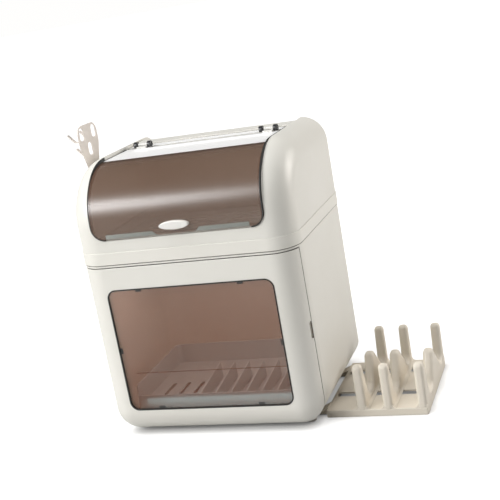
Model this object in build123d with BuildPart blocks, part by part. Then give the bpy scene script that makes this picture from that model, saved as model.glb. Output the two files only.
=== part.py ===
import os
from math import atan2, cos, degrees, radians, sin, sqrt

from build123d import *

# Tableware storage box: a cabinet with a windowed door, a hood with a curved
# see-through lid, a side rack that slides out and a hook board that lifts off.
# X runs to the right, Y to the back and Z up. The origin is on the floor, in
# the middle of the cabinet's footprint.

# Driving sizes of the box
body_width = 380.0
body_depth = 326.0
corner_radius = 44.0
bottom_radius = 43.0
bottom_side_radius = 53.0
wall = 3.0
foot_height = 5.0
cabinet_height = 304.0
band_height = 22.0
hood_height = 142.0

# Clearances and the overrun of every cut
seam_gap = 1.6
part_gap = 0.3
seat_gap = 0.1
run_gap = 0.05
press_gap = 0.02
overrun = 4.0

# Door
door_depth = 30.0
rail_thickness = 3.0
flange_width = 8.0
flange_thickness = 3.0
window_side_space = 44.0
window_top_space = 42.0
window_above_floor = 51.0
window_radius = 16.0
gasket_width = 2.2
gasket_proud = 0.5
pane_overlap = 6.0
pane_thickness = 2.4
pane_frame_width = 6.0
pane_frame_depth = 8.0
clip_length = 10.0
clip_reach = 4.0
clip_thickness = 1.2
clip_spread = 178.0
notch_height = 29.0
notch_depth = 5.0
notch_radius = 4.0
notch_above_floor = 168.0
notch_floor = 9.0
notch_boss = 8.0
edge_round = 1.2

# Door hinge
hinge_radius = 6.2
door_pin_radius = 2.0
door_pin_grip = 14.0
knuckle_height = 36.0
upper_knuckle_drop = 45.0
lower_knuckle_above_floor = 83.0
hinge_tube_above_floor = 52.0
neck_half = 1.9
arm_plate_length = 32.0
arm_screw_spread = 20.0
pin_end_wall = 1.6

# Magnetic catch
catch_above_floor = 225.0
catch_height = 26.0
magnet_height = 20.0
magnet_width = 6.0
magnet_depth = 5.0
magnet_inset = 16.0
catch_tab_width = 18.0
catch_plate_width = 8.0
catch_plate_thickness = 0.8

# Deck between the cabinet and the hood
band_proud = 1.0
band_wall = 4.0
band_round = 0.8
shadow_inset = 1.5
shadow_height = 1.2
ledge_reach = 12.0
ledge_thickness = 3.0
tray_wall = 2.4
tray_rim_height = 21.0
tray_slot_end_space = 40.0
tray_slot_width = 8.0
tray_slot_pitch = 20.0
tray_slot_rows = 12
tray_slot_space = 12.0

# Trays in the lower cabinet
drip_side_space = 45.0
drip_depth = 196.0
drip_height = 28.0
drip_radius = 20.0
basket_side_space = 31.0
basket_depth = 206.0
basket_front_height = 24.0
basket_height = 39.0
basket_front_space = 8.0
basket_radius = 12.0
fin_count = 7
fin_pitch = 27.7
fin_thickness = 2.4
fin_length = 118.0
fin_front_height = 18.0
fin_back_height = 31.0
fin_side_space = 26.0
drain_slot_width = 7.0
drain_slot_length = 90.0

# Hood and lid
cheek_front_height = 38.0
hood_back_radius = 48.0
ridge_drop = 3.0
ridge_radius = 66.0
lid_drop = 6.0
lid_proud = 2.0
lid_front_height = 24.4
lid_thickness = 3.0
lid_side_space = 42.5
lid_above_band = 22.6
lid_corner_radius = 21.0
lid_gap = 0.8
seal_width = 2.0
return_depth = 14.0
support_reach = 6.0
stop_height = 13.0
recess_front = 36.0
recess_back = 62.0
handle_length = 51.0
handle_height = 14.0
handle_depth = 7.0
handle_above_edge = 15.0
handle_round = 1.6

# Lid hinges
lid_pin_rise = 5.7
lid_pin_space = 5.5
lid_hinge_inset = 30.3
barrel_radius = 2.7
bracket_barrel = 8.0
lid_barrel = 4.4
lid_pin_radius = 1.0
cap_radius = 5.4
cap_length = 7.6
cap_round = 2.2
bracket_width = 22.0
bracket_depth = 16.0
bracket_thickness = 2.5
bracket_screw_spread = 14.0
strap_length = 8.0
strap_thickness = 3.4

# Screws
screw_radius = 1.5
screw_head_radius = 2.8
screw_head_height = 1.5
screw_length = 5.4

# Feet
foot_radius = 8.0
foot_plug_radius = 4.0
foot_plug_length = 6.0
foot_side_space = 37.0
foot_end_space = 51.0
foot_round = 1.0

# Side rack
rack_length = 170.0
rack_depth = 208.0
rack_height = 12.0
rack_wall = 3.0
rack_space = 13.0
rack_corner = 3.0
arm_width = 24.0
arm_length = 115.0
arm_end_space = 24.0
arm_lift = 0.8
arm_flange = 2.0
arm_flange_thickness = 2.2
guide_length = 70.0
guide_side_space = 54.0
guide_leg = 8.0
guide_lip_thickness = 1.1
guide_screw_spread = 46.0
arm_shoulder = 15.0
rack_slot_width = 18.0
rack_slot_radius = 4.0
rack_slot_margin = 6.0
rack_slot_shares = (0.3173, 0.7788)
divider_thickness = 16.0
divider_pitch_inner = 44.0
divider_pitch_outer = 57.0
divider_round = 6.0
front_prong_height = 76.0
middle_prong_height = 60.0
back_prong_height = 71.0
prong_tip_radius = 7.6
valley_height = 9.0
valley_radius = 14.0
front_valley_width = 36.0
back_valley_width = 20.0
flare_edge = 0.4
flare_radius = 5.0
valley_shares = (0.2692, 0.8365)
divider_peg_radius = 3.0
divider_peg_end_space = 19.0

# Hook board
board_thickness = 1.6
board_space = 5.5
board_y = -16.0
board_half_width = 36.0
stem_half_width = 20.5
board_height = 173.0
board_shoulder_drop = 34.0
board_waist_drop = 76.0
board_corner = 17.0
slot_width = 15.0
slot_height = 22.0
slot_radius = 5.5
slot_spread = 45.0
upper_slot_drop = 15.0
lower_slot_drop = 43.0
hook_width = 6.0
hook_thickness = 2.2
hook_shank = 10.0
hook_bend = 6.0
hook_turn = 48.0
hook_tip = 16.0
holder_height = 60.0
holder_wall = 3.0
holder_ear = 12.0
holder_above_band = 20.0
holder_screw_rise = 34.0

os.makedirs("parts", exist_ok=True)

# Levels and planes that follow from the driving sizes
side = body_width / 2
front = -body_depth / 2
back = body_depth / 2
underside = foot_height
cabinet_floor = underside + wall
cabinet_top = underside + cabinet_height
band_top = cabinet_top + band_height
hood_top = band_top + hood_height
seam_y = front + door_depth
door_back = seam_y - seam_gap
door_top = cabinet_top - rail_thickness - seam_gap
cheek_radius = hood_height - cheek_front_height
lid_radius = hood_height - lid_drop - lid_above_band - lid_front_height
lid_half_width = side - lid_side_space
lid_top = hood_top - lid_drop
lid_front = front - lid_proud
lid_bottom = band_top + lid_above_band
lid_centre_y = lid_front + lid_radius
lid_centre_z = lid_top - lid_radius
lid_seal_bottom = lid_bottom - seal_width
ridge_top = hood_top - ridge_drop
ridge_bottom = ridge_top - ridge_radius - wall
opening_half = lid_half_width + seal_width + lid_gap
hinge_axis_y = recess_front - lid_pin_space
hinge_axis_z = lid_top + lid_pin_rise
lid_rear = hinge_axis_y - barrel_radius - part_gap


def save(piece, name):
    piece.label = name
    export_step(piece, "parts/" + name + ".step")


def block_between(low, high):
    # A plain block given by its lowest and highest corners.
    with BuildPart() as block:
        with Locations([(Vector(*low) + Vector(*high)) / 2]):
            Box(high[0] - low[0], high[1] - low[1], high[2] - low[2])
    return block.part


def cabinet_block(inset, top):
    # The cabinet's outer form, or its hollow where an inset is given.
    with BuildPart() as block:
        with BuildSketch(Plane.XY.offset(underside + inset)):
            RectangleRounded(body_width - 2 * inset, body_depth - 2 * inset, corner_radius - inset)
        extrude(amount=top - underside - inset)
        fillet(block.faces().sort_by(Axis.Z)[0].edges(), bottom_radius - inset)
        # The lower side edges are rounder than the front and back ones
        outline_height = top - underside - inset + bottom_side_radius
        with BuildSketch(Plane.XZ.offset(-back)):
            with Locations([(0, underside + inset + outline_height / 2)]):
                RectangleRounded(body_width - 2 * inset, outline_height, bottom_side_radius - inset)
        extrude(amount=body_depth, mode=Mode.INTERSECT)
    return block.part


def hood_section(plane, inset, bottom):
    # The hood seen from its side: upright front, long curve, flat top, round back.
    with BuildSketch(plane) as section:
        with BuildLine():
            Line((front + inset, bottom), (front + inset, hood_top - cheek_radius))
            CenterArc((front + cheek_radius, hood_top - cheek_radius), cheek_radius - inset, 90, 90)
            Line((front + cheek_radius, hood_top - inset), (back - hood_back_radius, hood_top - inset))
            CenterArc((back - hood_back_radius, hood_top - hood_back_radius), hood_back_radius - inset, 0, 90)
            Line((back - inset, hood_top - hood_back_radius), (back - inset, bottom))
            Line((back - inset, bottom), (front + inset, bottom))
        make_face()
    return section.sketch


def hood_block(inset, bottom):
    with BuildPart() as block:
        extrude(hood_section(Plane.YZ, inset, bottom), amount=side - inset, both=True)
        rims = block.faces().filter_by(Axis.X).edges().sort_by(Axis.Z)[2:]
        fillet(rims, corner_radius - inset)
    return block.part


def ridge_section(inset):
    # The lower rear strip between the cheeks, seen from its side.
    with BuildSketch(Plane.YZ) as section:
        with BuildLine():
            Line((recess_back, ridge_top - inset), (back - ridge_radius, ridge_top - inset))
            CenterArc((back - ridge_radius, ridge_top - ridge_radius), ridge_radius - inset, 0, 90)
            Line((back - inset, ridge_top - ridge_radius), (back - inset, ridge_bottom))
            Line((back - inset, ridge_bottom), (recess_back, ridge_bottom))
            Line((recess_back, ridge_bottom), (recess_back, ridge_top - inset))
        make_face()
    return section.sketch


def lid_section(plane, outer, inner, bottom, rear):
    # The lid seen from its side, between two insets from its outer face.
    with BuildSketch(plane) as section:
        with BuildLine():
            Line((lid_front + outer, bottom), (lid_front + outer, lid_centre_z))
            CenterArc((lid_centre_y, lid_centre_z), lid_radius - outer, 90, 90)
            Line((lid_centre_y, lid_top - outer), (rear, lid_top - outer))
            Line((rear, lid_top - outer), (rear, lid_top - inner))
            Line((rear, lid_top - inner), (lid_centre_y, lid_top - inner))
            CenterArc((lid_centre_y, lid_centre_z), lid_radius - inner, 90, 90)
            Line((lid_front + inner, lid_centre_z), (lid_front + inner, bottom))
            Line((lid_front + inner, bottom), (lid_front + outer, bottom))
        make_face()
    return section.sketch


def lid_sheet(half_width, outer, inner, bottom, rear, corner):
    with BuildPart() as sheet:
        extrude(lid_section(Plane.YZ, outer, inner, bottom, rear), amount=half_width, both=True)
        fillet(sheet.edges().filter_by(Axis.Y).group_by(Axis.Z)[0], corner)
    return sheet.part


def screws(places, axis):
    # Countersunk screws whose heads lie flush at the given places.
    with BuildPart() as group:
        for place in places:
            with BuildSketch(Plane(origin=place, z_dir=axis)):
                Circle(screw_head_radius)
            with BuildSketch(Plane(origin=place, z_dir=axis).offset(screw_head_height)):
                Circle(screw_radius)
            loft()
            with BuildSketch(Plane(origin=place, z_dir=axis).offset(screw_head_height)):
                Circle(screw_radius)
            extrude(amount=screw_length - screw_head_height)
    return group.part


def screw_holes(places, axis):
    # The holes that take those screws, with a countersink for each head.
    with BuildPart() as group:
        for place in places:
            with BuildSketch(Plane(origin=place, z_dir=axis)):
                Circle(screw_head_radius + press_gap)
            with BuildSketch(Plane(origin=place, z_dir=axis).offset(screw_head_height)):
                Circle(screw_radius + press_gap)
            loft()
            with BuildSketch(Plane(origin=place, z_dir=axis).offset(screw_head_height)):
                Circle(screw_radius + press_gap)
            extrude(amount=screw_length - screw_head_height + part_gap)
    return group.part


# Door hinge axis, just inside the rounded front corner and clear of the seam
hinge_y = door_back + seam_gap - part_gap * 2 - hinge_radius
corner_x = -side + corner_radius
corner_y = front + corner_radius
hinge_inset = corner_radius - hinge_radius
hinge_x = corner_x - sqrt(hinge_inset ** 2 - (corner_y - hinge_y) ** 2)
hinge_turn = degrees(atan2(hinge_y - corner_y, hinge_x - corner_x)) % 360
knuckle_bottoms = {"upper": cabinet_top - upper_knuckle_drop, "lower": lower_knuckle_above_floor}

# Places of screws, feet and rack arms
inner_side = side - wall
arm_screw_x = -inner_side + wall
arm_plate_y = corner_y + part_gap
arm_plate_centre = arm_plate_y + arm_plate_length / 2
arm_screw_z = [bottom + knuckle_height / 2 for bottom in knuckle_bottoms.values()]
arm_screw_places = [
    (arm_screw_x, arm_plate_centre + turn * arm_screw_spread / 2, height)
    for height in arm_screw_z
    for turn in (-1, 1)
]
lid_hinge_x = lid_half_width - lid_hinge_inset
hinge_centres = {"left": -lid_hinge_x, "right": lid_hinge_x}
bracket_front = recess_front + part_gap
bracket_screw_places = [
    (centre + turn * bracket_screw_spread / 2, bracket_front + bracket_depth / 2, lid_top + bracket_thickness)
    for centre in hinge_centres.values()
    for turn in (-1, 1)
]
foot_x = side - foot_side_space
foot_y = back - foot_end_space
foot_places = [(turn_x * foot_x, turn_y * foot_y) for turn_x in (-1, 1) for turn_y in (-1, 1)]
arm_y = rack_depth / 2 - arm_end_space
arm_places = {"front": -arm_y, "back": arm_y}
arm_top = underside - part_gap
flange_bottom = arm_top - arm_flange_thickness
guide_bottom = flange_bottom - part_gap - guide_lip_thickness
guide_end = side - guide_side_space
guide_start = guide_end - guide_length
guide_middle = (guide_start + guide_end) / 2
guide_face = arm_width / 2 + arm_flange + part_gap
guide_screw_places = [
    (
        guide_middle + turn_x * guide_screw_spread / 2,
        centre + turn_y * (guide_face + guide_leg / 2),
        guide_bottom,
    )
    for centre in arm_places.values()
    for turn_x in (-1, 1)
    for turn_y in (-1, 1)
]
board_outer = -side - board_space - board_thickness
holder_bottom = band_top + holder_above_band
holder_half = stem_half_width + part_gap + holder_wall
holder_screw_places = [
    (-side - holder_wall, board_y + turn * (holder_half + holder_ear / 2), holder_bottom + holder_screw_rise)
    for turn in (-1, 1)
]

# Cabinet shell: one moulding with a flange behind the door
flange_back = seam_y + flange_thickness
with BuildPart() as cabinet_hollow:
    add(cabinet_block(wall, cabinet_top + overrun))
    add(
        block_between(
            (-side, flange_back, underside),
            (side, back, cabinet_top + overrun),
        ),
        mode=Mode.INTERSECT,
    )

with BuildPart() as cabinet_shell:
    add(cabinet_block(0, cabinet_top))
    add(
        block_between(
            (-side - overrun, front - overrun, underside - overrun),
            (side + overrun, seam_y, cabinet_top + overrun),
        ),
        mode=Mode.SUBTRACT,
    )
    add(cabinet_hollow.part, mode=Mode.SUBTRACT)
    opening_bottom = cabinet_floor + flange_width
    opening_top = cabinet_top - rail_thickness - flange_width
    with BuildSketch(Plane.XZ.offset(-flange_back - overrun)):
        with Locations([(0, (opening_bottom + opening_top) / 2)]):
            RectangleRounded(
                2 * (inner_side - flange_width),
                opening_top - opening_bottom,
                corner_radius - wall - flange_width,
            )
    extrude(amount=flange_thickness + overrun * 2, mode=Mode.SUBTRACT)
    # Tab that carries the catch plate
    tab_low = catch_above_floor - catch_height / 2
    tab_high = catch_above_floor + catch_height / 2
    add(
        block_between(
            (inner_side - catch_tab_width, seam_y, tab_low),
            (inner_side - wall, flange_back, tab_high),
        )
    )
    plate_x = side - magnet_inset
    add(
        block_between(
            (
                plate_x - catch_plate_width / 2 - seat_gap,
                seam_y - overrun,
                catch_above_floor - magnet_height / 2 - seat_gap,
            ),
            (
                plate_x + catch_plate_width / 2 + seat_gap,
                seam_y + catch_plate_thickness,
                catch_above_floor + magnet_height / 2 + seat_gap,
            ),
        ),
        mode=Mode.SUBTRACT,
    )
    # Notches in the flange for the necks of the door hinge arms
    for knuckle_bottom in knuckle_bottoms.values():
        add(
            block_between(
                (hinge_x - neck_half - seam_gap, seam_y - overrun, knuckle_bottom - seam_gap),
                (
                    hinge_x + neck_half + overrun,
                    flange_back + overrun,
                    knuckle_bottom + knuckle_height + seam_gap,
                ),
            ),
            mode=Mode.SUBTRACT,
        )
    # Holes for the plugs of the feet
    with BuildSketch(Plane.XY.offset(underside - overrun)):
        with Locations(foot_places):
            Circle(foot_plug_radius + press_gap)
    extrude(amount=foot_plug_length + overrun * 2, mode=Mode.SUBTRACT)
    add(screw_holes(guide_screw_places, (0, 0, 1)), mode=Mode.SUBTRACT)
    add(screw_holes(arm_screw_places, (-1, 0, 0)), mode=Mode.SUBTRACT)
save(cabinet_shell.part, "cabinet_shell")

# Front rail: the strip over the door, flush with the cabinet's round front corners
with BuildPart() as front_rail:
    add(cabinet_block(0, cabinet_top))
    add(
        block_between(
            (-side, front, cabinet_top - rail_thickness),
            (side, seam_y, cabinet_top),
        ),
        mode=Mode.INTERSECT,
    )
save(front_rail.part, "front_rail")

# Deck frame: the band round the middle, with a ledge for the drain tray
with BuildPart() as deck_frame:
    with BuildSketch(Plane.XY.offset(cabinet_top + shadow_height)):
        RectangleRounded(body_width + 2 * band_proud, body_depth + 2 * band_proud, corner_radius + band_proud)
    extrude(amount=band_height - shadow_height)
    fillet(deck_frame.faces().sort_by(Axis.Z)[0].edges(), band_round)
    fillet(deck_frame.faces().sort_by(Axis.Z)[-1].edges(), band_round)
    # A dark line shows where the band stands on the cabinet
    with BuildSketch(Plane.XY.offset(cabinet_top)):
        RectangleRounded(
            body_width - 2 * shadow_inset, body_depth - 2 * shadow_inset, corner_radius - shadow_inset
        )
    extrude(amount=shadow_height)
    ring_inset = band_wall - band_proud
    with BuildSketch(Plane.XY.offset(cabinet_top + ledge_thickness)):
        RectangleRounded(body_width - 2 * ring_inset, body_depth - 2 * ring_inset, corner_radius - ring_inset)
    extrude(amount=band_height, mode=Mode.SUBTRACT)
    ledge_inset = ring_inset + ledge_reach
    with BuildSketch(Plane.XY.offset(cabinet_top - overrun)):
        RectangleRounded(
            body_width - 2 * ledge_inset, body_depth - 2 * ledge_inset, corner_radius - ledge_inset
        )
    extrude(amount=band_height, mode=Mode.SUBTRACT)
save(deck_frame.part, "deck_frame")

# Drain tray: a slotted tray that lies on the ledge and lifts out through the lid
tray_inset = ring_inset + part_gap * 2
tray_bottom = cabinet_top + ledge_thickness
with BuildPart() as drain_tray:
    with BuildSketch(Plane.XY.offset(tray_bottom)):
        RectangleRounded(body_width - 2 * tray_inset, body_depth - 2 * tray_inset, corner_radius - tray_inset)
    extrude(amount=tray_rim_height)
    tray_hollow = tray_inset + tray_wall
    with BuildSketch(Plane.XY.offset(tray_bottom + tray_wall)):
        RectangleRounded(
            body_width - 2 * tray_hollow, body_depth - 2 * tray_hollow, corner_radius - tray_hollow
        )
    extrude(amount=tray_rim_height, mode=Mode.SUBTRACT)
    tray_slot_length = side - tray_slot_end_space
    with BuildSketch(Plane.XY.offset(tray_bottom - overrun)):
        with GridLocations(tray_slot_length + tray_slot_space, tray_slot_pitch, 2, tray_slot_rows):
            SlotOverall(tray_slot_length, tray_slot_width)
    extrude(amount=tray_wall + overrun * 2, mode=Mode.SUBTRACT)
save(drain_tray.part, "drain_tray")

# Drip tray on the cabinet floor and the plate basket that stands on its rim
basket_front = flange_back + basket_front_space
tray_centre_y = basket_front + basket_depth / 2
drip_width = 2 * (inner_side - drip_side_space)
basket_width = 2 * (inner_side - basket_side_space)
with BuildPart() as drip_tray:
    with BuildSketch(Plane.XY.offset(cabinet_floor)):
        with Locations([(0, tray_centre_y)]):
            RectangleRounded(drip_width, drip_depth, drip_radius)
    extrude(amount=drip_height)
    fillet(drip_tray.faces().sort_by(Axis.Z)[0].edges(), drip_radius / 4)
    with BuildSketch(Plane.XY.offset(cabinet_floor + tray_wall)):
        with Locations([(0, tray_centre_y)]):
            RectangleRounded(drip_width - 2 * tray_wall, drip_depth - 2 * tray_wall, drip_radius - tray_wall)
    extrude(amount=drip_height, mode=Mode.SUBTRACT)
save(drip_tray.part, "drip_tray")

basket_bottom = cabinet_floor + drip_height
basket_floor = basket_bottom + tray_wall
basket_left = -basket_width / 2
fin_places = [
    basket_width / 2 - fin_side_space - (fin_count - 1 - index) * fin_pitch
    for index in range(fin_count)
]
with BuildPart() as plate_basket:
    with BuildSketch(Plane.XY.offset(basket_bottom)):
        with Locations([(0, tray_centre_y)]):
            RectangleRounded(basket_width, basket_depth, basket_radius)
    extrude(amount=basket_height)
    with BuildSketch(Plane.XY.offset(basket_floor)):
        with Locations([(0, tray_centre_y)]):
            RectangleRounded(
                basket_width - 2 * tray_wall, basket_depth - 2 * tray_wall, basket_radius - tray_wall
            )
    extrude(amount=basket_height, mode=Mode.SUBTRACT)
    # The front wall is lower, so that plates are easy to reach
    add(
        block_between(
            (basket_left - overrun, basket_front - overrun, basket_bottom + basket_front_height),
            (
                basket_width / 2 + overrun,
                basket_front + basket_radius,
                basket_bottom + basket_height + overrun,
            ),
        ),
        mode=Mode.SUBTRACT,
    )
    # Fins that hold plates on edge
    for fin_x in fin_places:
        with BuildSketch(Plane.YZ.offset(fin_x - fin_thickness / 2)):
            with BuildLine():
                Polyline(
                    (basket_front + tray_wall / 2, basket_floor - tray_wall / 2),
                    (basket_front + tray_wall / 2, basket_floor + fin_front_height),
                    (basket_front + fin_length, basket_floor + fin_back_height),
                    (basket_front + fin_length, basket_floor - tray_wall / 2),
                    close=True,
                )
            make_face()
        extrude(amount=fin_thickness)
    # Drain slots between the fins and in the flat left part
    with BuildSketch(Plane.XY.offset(basket_bottom - overrun)):
        slot_places = [
            (fin_x + fin_pitch / 2, basket_front + fin_length / 2) for fin_x in fin_places[:-1]
        ]
        left_middle = (basket_left + fin_places[0]) / 2
        slot_places += [
            (left_middle + turn * fin_pitch, basket_front + fin_length / 2) for turn in (-1, 0, 1)
        ]
        with Locations(slot_places):
            SlotOverall(drain_slot_length, drain_slot_width, rotation=90)
    extrude(amount=tray_wall + overrun * 2, mode=Mode.SUBTRACT)
save(plate_basket.part, "plate_basket")

# Hood shell: open below, with the lid's opening, cheek returns and lid supports
opening_low = lid_seal_bottom - lid_gap
support_outer = lid_thickness + part_gap
support_inner = support_outer + wall


def cheek_return(low_x):
    # The upright inner wall of a cheek, which follows the hood's outline.
    with BuildPart() as band:
        extrude(hood_section(Plane.YZ.offset(low_x), wall / 2, opening_low - wall), amount=wall)
        extrude(
            hood_section(Plane.YZ.offset(low_x), return_depth, opening_low - wall - overrun),
            amount=wall,
            mode=Mode.SUBTRACT,
        )
        add(
            block_between(
                (low_x - overrun, recess_back + wall, band_top),
                (low_x + wall + overrun, back + overrun, hood_top + overrun),
            ),
            mode=Mode.SUBTRACT,
        )
    return band.part


with BuildPart() as lid_opening:
    add(
        block_between(
            (-opening_half, lid_front - overrun, opening_low),
            (opening_half, recess_front, hood_top + overrun),
        )
    )
    fillet(
        lid_opening.edges().filter_by(Axis.Y).group_by(Axis.Z)[0],
        lid_corner_radius + seal_width + lid_gap,
    )

# Inner ends of the cheeks where they rise above the lower rear strip
with BuildPart() as ridge_ends:
    add(hood_block(0, band_top))
    extrude(ridge_section(wall), amount=side + overrun, both=True, mode=Mode.SUBTRACT)
    add(
        block_between(
            (-opening_half - wall, recess_back, ridge_bottom),
            (opening_half + wall, back + overrun, hood_top + overrun),
        ),
        mode=Mode.INTERSECT,
    )
    add(
        block_between(
            (-opening_half, recess_back - overrun, ridge_bottom - overrun),
            (opening_half, back + overrun, hood_top + overrun),
        ),
        mode=Mode.SUBTRACT,
    )

with BuildPart() as hood_shell:
    add(hood_block(0, band_top))
    add(hood_block(wall, band_top - overrun), mode=Mode.SUBTRACT)
    add(lid_opening.part, mode=Mode.SUBTRACT)
    # The rear strip between the cheeks is lower than they are
    add(
        block_between(
            (-opening_half, recess_back, ridge_bottom),
            (opening_half, back + overrun, hood_top + overrun),
        ),
        mode=Mode.SUBTRACT,
    )
    with BuildPart(mode=Mode.PRIVATE) as ridge:
        extrude(ridge_section(0), amount=opening_half, both=True)
        extrude(ridge_section(wall), amount=opening_half + overrun, both=True, mode=Mode.SUBTRACT)
    add(ridge.part)
    add(ridge_ends.part)
    # Ledge behind the lid, with the step up to the fixed rear part
    add(
        block_between(
            (-opening_half - wall, recess_front, lid_top - wall),
            (opening_half + wall, recess_back + wall, ridge_top - wall / 2),
        )
    )
    add(
        block_between(
            (-opening_half, recess_front - overrun, lid_top),
            (opening_half, recess_back, hood_top + overrun),
        ),
        mode=Mode.SUBTRACT,
    )
    # Inner walls of the cheeks and the curved edges that the lid closes on
    for low_x in (-opening_half - wall, opening_half):
        add(cheek_return(low_x))
    for low_x in (-opening_half - wall / 2, opening_half - support_reach):
        extrude(
            lid_section(
                Plane.YZ.offset(low_x), support_outer, support_inner, lid_centre_z - stop_height, recess_front
            ),
            amount=support_reach + wall / 2,
        )
    # Lip behind the lid's lower edge
    add(
        block_between(
            (-opening_half, front + wall, opening_low - stop_height / 2),
            (opening_half, front + 2 * wall, opening_low + stop_height / 2),
        )
    )
    add(screw_holes(bracket_screw_places, (0, 0, -1)), mode=Mode.SUBTRACT)
    add(screw_holes(holder_screw_places, (1, 0, 0)), mode=Mode.SUBTRACT)
save(hood_shell.part, "hood_shell")

# Lid: a bent clear sheet with dark seals at its sides and a white plate behind it
crease_plane = Plane.XZ.offset(-lid_centre_y)
seal_half = lid_half_width + seal_width
seal_radius = lid_corner_radius + seal_width
with BuildPart() as lid_panel:
    add(lid_sheet(lid_half_width, 0, lid_thickness, lid_bottom, lid_rear, lid_corner_radius))
    split(bisect_by=crease_plane, keep=Keep.TOP)
save(lid_panel.part, "lid_panel")

with BuildPart() as lid_side_seals:
    add(lid_sheet(seal_half, 0, lid_thickness, lid_seal_bottom, lid_rear, seal_radius))
    add(
        lid_sheet(
            lid_half_width,
            -overrun,
            lid_thickness + overrun,
            lid_bottom,
            hinge_axis_y,
            lid_corner_radius,
        ),
        mode=Mode.SUBTRACT,
    )
    add(
        block_between(
            (lid_corner_radius - lid_half_width, lid_front - overrun, lid_bottom - overrun),
            (lid_half_width - lid_corner_radius, lid_front + lid_thickness + overrun, lid_bottom + overrun),
        ),
        mode=Mode.SUBTRACT,
    )
save(lid_side_seals.part, "lid_side_seals")

with BuildPart() as lid_top_plate:
    add(lid_sheet(lid_half_width, 0, lid_thickness, lid_bottom, lid_rear, lid_corner_radius))
    split(bisect_by=crease_plane, keep=Keep.BOTTOM)
save(lid_top_plate.part, "lid_top_plate")

handle_z = lid_bottom + handle_above_edge
with BuildPart() as lid_handle:
    with BuildSketch(Plane.XZ.offset(-lid_front)):
        with Locations([(0, handle_z)]):
            Ellipse(handle_length / 2, handle_height / 2)
    extrude(amount=handle_depth)
    fillet(lid_handle.faces().sort_by(Axis.Y)[0].edges(), handle_round)
save(lid_handle.part, "lid_handle")


def along_x(low_x, high_x, radius):
    # A round bar on the lid's hinge axis.
    with BuildPart() as bar:
        with BuildSketch(Plane.YZ.offset(low_x)):
            with Locations([(hinge_axis_y, hinge_axis_z)]):
                Circle(radius)
        extrude(amount=high_x - low_x)
    return bar.part


# Lid hinges: a bracket on the ledge, a strap on the lid, a pin and two dark caps
strap_half = bracket_barrel / 2 + part_gap + lid_barrel
cap_inner = strap_half + part_gap
pin_half = cap_inner + cap_length - pin_end_wall
for name, centre in hinge_centres.items():
    with BuildPart() as hinge_bracket:
        add(along_x(centre - bracket_barrel / 2, centre + bracket_barrel / 2, barrel_radius))
        add(
            block_between(
                (centre - bracket_barrel / 2, hinge_axis_y, lid_top),
                (centre + bracket_barrel / 2, bracket_front + bracket_depth, hinge_axis_z - part_gap),
            )
        )
        add(
            block_between(
                (centre - bracket_width / 2, bracket_front, lid_top),
                (centre + bracket_width / 2, bracket_front + bracket_depth, lid_top + bracket_thickness),
            )
        )
        add(along_x(centre - pin_half, centre + pin_half, lid_pin_radius + press_gap), mode=Mode.SUBTRACT)
        add(screw_holes(bracket_screw_places, (0, 0, -1)), mode=Mode.SUBTRACT)
    save(hinge_bracket.part, "lid_hinge_bracket_" + name)

    with BuildPart() as lid_strap:
        add(along_x(centre - strap_half, centre + strap_half, barrel_radius))
        add(
            block_between(
                (centre - strap_half, lid_rear - strap_length, lid_top),
                (centre + strap_half, hinge_axis_y, lid_top + strap_thickness),
            )
        )
        add(
            block_between(
                (centre - bracket_barrel / 2 - part_gap, lid_rear, lid_top - overrun),
                (
                    centre + bracket_barrel / 2 + part_gap,
                    hinge_axis_y + barrel_radius + overrun,
                    hinge_axis_z + barrel_radius + overrun,
                ),
            ),
            mode=Mode.SUBTRACT,
        )
        add(along_x(centre - pin_half, centre + pin_half, lid_pin_radius + run_gap), mode=Mode.SUBTRACT)
    save(lid_strap.part, "lid_hinge_strap_" + name)

    with BuildPart() as lid_pin:
        add(along_x(centre - pin_half, centre + pin_half, lid_pin_radius))
        fillet(lid_pin.edges().filter_by(GeomType.CIRCLE), lid_pin_radius / 4)
    save(lid_pin.part, "lid_pin_" + name)

with BuildPart() as lid_pin_caps:
    for centre in hinge_centres.values():
        for low_x in (centre + cap_inner, centre - cap_inner - cap_length):
            add(along_x(low_x, low_x + cap_length, cap_radius))
    fillet(lid_pin_caps.edges().filter_by(GeomType.CIRCLE), cap_round)
    for centre in hinge_centres.values():
        add(along_x(centre - pin_half, centre + pin_half, lid_pin_radius + press_gap), mode=Mode.SUBTRACT)
save(lid_pin_caps.part, "lid_pin_caps")
save(screws(bracket_screw_places, (0, 0, -1)), "lid_bracket_screws")

# Window: the hole, the pane behind it and the frame that holds the pane
window_width = body_width - 2 * window_side_space
window_height = cabinet_top - window_top_space - window_above_floor
window_z = window_above_floor + window_height / 2
pane_width = window_width + 2 * pane_overlap
pane_height = window_height + 2 * pane_overlap
pane_radius = window_radius + pane_overlap
pane_front = front + wall
frame_border = seat_gap + pane_frame_width


def door_bar(low_z, high_z, radius):
    # A round bar on the door's hinge axis.
    with BuildPart() as bar:
        with BuildSketch(Plane.XY.offset(low_z)):
            with Locations([(hinge_x, hinge_y)]):
                Circle(radius)
        extrude(amount=high_z - low_z)
    return bar.part


def window_block(border, near_y, far_y):
    # A rounded block as large as the pane and a border, between two depths.
    with BuildPart() as block:
        with BuildSketch(Plane.XZ.offset(-far_y)):
            with Locations([(0, window_z)]):
                RectangleRounded(pane_width + 2 * border, pane_height + 2 * border, pane_radius + border)
        extrude(amount=far_y - near_y)
    return block.part


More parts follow.
